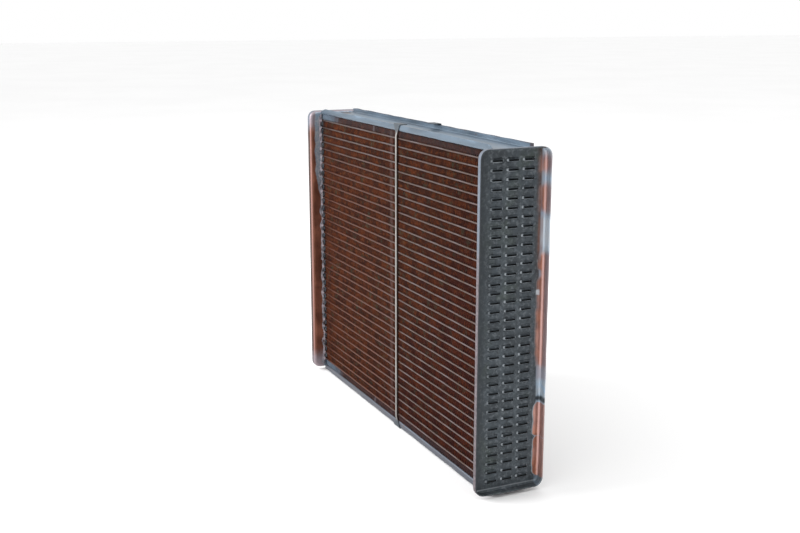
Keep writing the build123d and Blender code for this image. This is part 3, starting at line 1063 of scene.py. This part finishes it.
def slot_cutter(along, across, up, length_, height):
    """A closed obround block that cuts a slot through a flange."""
    outline = slot_outline(length_, height, 4, 6)
    points = [(along + x, across + y, up + z) for y in (-2 * MM, 2 * MM) for x, z in outline]
    count = len(outline)
    faces = [(k, (k + 1) % count, (k + 1) % count + count, k + count) for k in range(count)]
    faces += [list(range(count))[::-1], list(range(count, 2 * count))]
    mesh = bpy.data.meshes.new("cutter")
    mesh.from_pydata(points, [], faces)
    cutter = bpy.data.objects.new("cutter", mesh)
    bpy.context.scene.collection.objects.link(cutter)
    return cutter


class RADIATOR_OT_side_plates(bpy.types.Operator):
    """Fold the two side channels that close the core's top and bottom"""

    bl_idname = "radiator.side_plates"
    bl_label = "Side plates"

    def execute(self, context):
        size = sizes()
        finish = plate_finish()
        sheet, bend = size.plate_sheet, size.plate_bend
        for sign, level in ((1, "top"), (-1, "bottom")):
            node = f"side_plate_{level}"
            low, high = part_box(node)
            deep, tall = high.y, high.z - low.z
            inner = deep - sheet
            corners = [(-deep, tall), (-deep, 0), (deep, 0), (deep, tall)]
            corners += [(inner, tall), (inner, sheet), (-inner, sheet), (-inner, tall)]
            edge = 0.3 * sheet
            radii = [edge, bend + sheet, bend + sheet, edge, edge, bend, bend, edge]
            section = rounded_outline(corners, radii, longest=4 * MM)
            stations = np.linspace(low.x, high.x, 121)
            along = np.repeat(stations[:, None], len(section), axis=1)
            across = np.repeat(section[None, :, 0], len(stations), axis=0)
            up = np.repeat(section[None, :, 1], len(stations), axis=0)
            lift = up / tall
            places = np.stack([along, across], axis=-1)
            across = across * (1 - 0.010 * lift) + wander(places, 80 * MM, 600 + sign) * 0.35 * MM * lift
            sunk = wander(places, 55 * MM, 610 + sign) * 0.22 * MM
            up = up + np.where(lift < 0.4, np.abs(sunk), 0) + np.where(lift > 0.8, sunk, 0)
            far_end = np.clip((low.x + 14 * MM - along) / (12 * MM), 0, 1)
            near_end = np.clip((along - high.x + 5 * MM) / (4 * MM), 0, 1) * (across < 0)
            up = up - lift * np.maximum(far_end, near_end) * size.flange_cut * np.where(across < 0, 1, 0.3)
            up = up - np.where((across > 0) & (lift > 0.5), 0.6 * MM, 0)
            up = np.clip(up, 0, tall)
            base = low.z if sign > 0 else high.z
            points = np.stack([along, across, base + sign * up], axis=-1).reshape(-1, 3)
            if sign < 0:
                points[:, 1] *= -1
            faces = tube_faces(len(stations), len(section))
            piece = add_piece(
                f"side_channel_{level}", points, faces, finish, [node], smooth_angle=40
            )
            if sign > 0:
                slots = [slot_cutter(178.5 * MM, deep, low.z + 3.6 * MM, 8 * MM, 1.8 * MM)]
                slots.append(slot_cutter(234.5 * MM, -deep, low.z + 4.2 * MM, 2.6 * MM, 2.2 * MM))
                cut(piece, slots)
                piece.data.set_sharp_from_angle(angle=math.radians(40))
        return {"FINISHED"}


class RADIATOR_OT_tie_straps(bpy.types.Operator):
    """Hook the tie straps over the side plates"""

    bl_idname = "radiator.tie_straps"
    bl_label = "Tie straps"

    def execute(self, context):
        size = sizes()
        finish = strap_finish()
        for facing, place in ((1, "front"), (-1, "rear")):
            node = f"tie_strap_{place}"
            low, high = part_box(node)
            centre = (low.x + high.x) / 2
            face = -low.y if facing > 0 else high.y
            inner = face - size.strap_thickness
            top = high.z - MIDDLE_Z
            head = size.head_sheet
            middle_line = inner + head / 2
            hook_level = top - head / 2
            tip = inner - size.hook_length + head / 2
            start = hook_level - size.head_length
            corners = [(tip, -hook_level), (middle_line, -hook_level)]
            corners += [(middle_line, hook_level), (tip, hook_level)]
            radii = [0, 1.2 * MM, 1.2 * MM, 0]
            path = rounded_outline(corners, radii, arc_steps=6, longest=1.6 * MM, closed=False)
            tangents = np.gradient(path, axis=0)
            tangents /= np.linalg.norm(tangents, axis=1, keepdims=True)
            normals = np.stack([tangents[:, 1], -tangents[:, 0]], axis=1)
            flare = np.clip((np.abs(path[:, 1]) - start) / size.head_length, 0, 1)
            flare = flare * flare * (3 - 2 * flare) * 0.4 + flare * 0.6
            widths = size.strap_width + (size.head_width - size.strap_width) * flare
            bar = 1 - np.clip((np.abs(path[:, 1]) - start + 3 * MM) / (4 * MM), 0, 1)
            thick = head + (size.strap_thickness - head) * bar
            rings = []
            for spot, normal, width, sheet in zip(path, normals, widths, thick):
                corner = min(sheet * 0.42, width * 0.3)
                half = width / 2
                section = [(-half, 0), (half, 0), (half, sheet), (-half, sheet)]
                outline = rounded_outline(section, [corner] * 4, arc_steps=3)
                shifted = spot[None, :] + normal[None, :] * (outline[:, 1:] - head / 2)
                rings.append(np.column_stack([outline[:, 0] + centre, shifted]))
            rings = np.array(rings)
            spots = rings[:, :1, 2] * np.ones((1, rings.shape[1]))
            rings[..., 0] += wander(spots[..., None], 120 * MM, 700 + facing) * 0.25 * MM
            points = rings.reshape(-1, 3)
            points[:, 1] *= -facing
            points[:, 2] += MIDDLE_Z
            faces = tube_faces(len(rings), rings.shape[1])
            add_piece(f"tie_bar_{place}", points, faces, finish, [node], smooth_angle=40)
        return {"FINISHED"}


def area_light(name, place, target, width, power):
    """A soft square light that faces a point."""
    light = bpy.data.lights.new(name, "AREA")
    light.shape = "SQUARE"
    light.size = width
    light.energy = power
    lamp = bpy.data.objects.new(name, light)
    lamp.location = place
    lamp.rotation_mode = "QUATERNION"
    lamp.rotation_quaternion = (Vector(target) - Vector(place)).to_track_quat("-Z", "Y")
    bpy.context.scene.collection.objects.link(lamp)


class RADIATOR_OT_stage(bpy.types.Operator):
    """Set up the pale floor, the soft lights and the camera"""

    bl_idname = "radiator.stage"
    bl_label = "Stage"

    def execute(self, context):
        stage = context.scene.core_stage
        scene = context.scene
        half = stage.floor_width / 2
        mesh = bpy.data.meshes.new("studio_floor")
        corners = [(-half, -half, 0), (half, -half, 0), (half, half, 0), (-half, half, 0)]
        mesh.from_pydata(corners, [], [(0, 1, 2, 3)])
        mesh.materials.append(floor_finish())
        floor = bpy.data.objects.new("studio_floor", mesh)
        scene.collection.objects.link(floor)
        middle = (0, 0, MIDDLE_Z)
        area_light("key_light", (-0.9, -2.0, 1.3), middle, 1.6, stage.key_power)
        area_light("top_light", (0.1, 0.4, 2.4), middle, 2.0, stage.top_power)
        world = bpy.data.worlds.new("studio")
        world.use_nodes = True
        world.node_tree.nodes["Background"].inputs["Color"].default_value = (1, 1, 1, 1)
        world.node_tree.nodes["Background"].inputs["Strength"].default_value = stage.surround
        scene.world = world
        camera = bpy.data.cameras.new("camera")
        camera.lens = stage.camera_lens
        view = bpy.data.objects.new("camera", camera)
        heading, tilt = stage.camera_heading, stage.camera_tilt
        level = math.cos(tilt)
        forward = Vector((math.cos(heading) * level, math.sin(heading) * level, math.sin(tilt)))
        view.location = stage.camera_place
        view.rotation_mode = "QUATERNION"
        view.rotation_quaternion = forward.to_track_quat("-Z", "Y")
        scene.collection.objects.link(view)
        scene.camera = view
        scene.view_settings.view_transform = "Standard"
        return {"FINISHED"}


STEPS = (
    RADIATOR_OT_header_plates,
    RADIATOR_OT_tubes,
    RADIATOR_OT_fins,
    RADIATOR_OT_solder,
    RADIATOR_OT_side_plates,
    RADIATOR_OT_tie_straps,
    RADIATOR_OT_stage,
)


class RADIATOR_PT_sidebar(bpy.types.Panel):
    """Lists the radiator's steps and settings"""

    bl_idname = "RADIATOR_PT_sidebar"
    bl_label = "Radiator core"
    bl_space_type = "VIEW_3D"
    bl_region_type = "UI"
    bl_category = "Radiator"

    def draw(self, context):
        for step in STEPS:
            self.layout.operator(step.bl_idname)
        for group in (context.scene.core_sizes, context.scene.core_finishes, context.scene.core_stage):
            box = self.layout.box()
            for name in type(group).__annotations__:
                box.prop(group, name)


CLASSES = (CoreSizes, CoreFinishes, StageSettings, *STEPS, RADIATOR_PT_sidebar)


def register():
    """Adds the classes and the scene's settings."""
    for item in CLASSES:
        bpy.utils.register_class(item)
    bpy.types.Scene.core_sizes = PointerProperty(type=CoreSizes)
    bpy.types.Scene.core_finishes = PointerProperty(type=CoreFinishes)
    bpy.types.Scene.core_stage = PointerProperty(type=StageSettings)


def unregister():
    """Takes them away again."""
    del bpy.types.Scene.core_stage
    del bpy.types.Scene.core_finishes
    del bpy.types.Scene.core_sizes
    for item in reversed(CLASSES):
        bpy.utils.unregister_class(item)


def main():
    """Builds the core and its stage."""
    register()
    for step in STEPS:
        family, name = step.bl_idname.split(".")
        getattr(getattr(bpy.ops, family), name)()


if __name__ == "__main__":
    main()
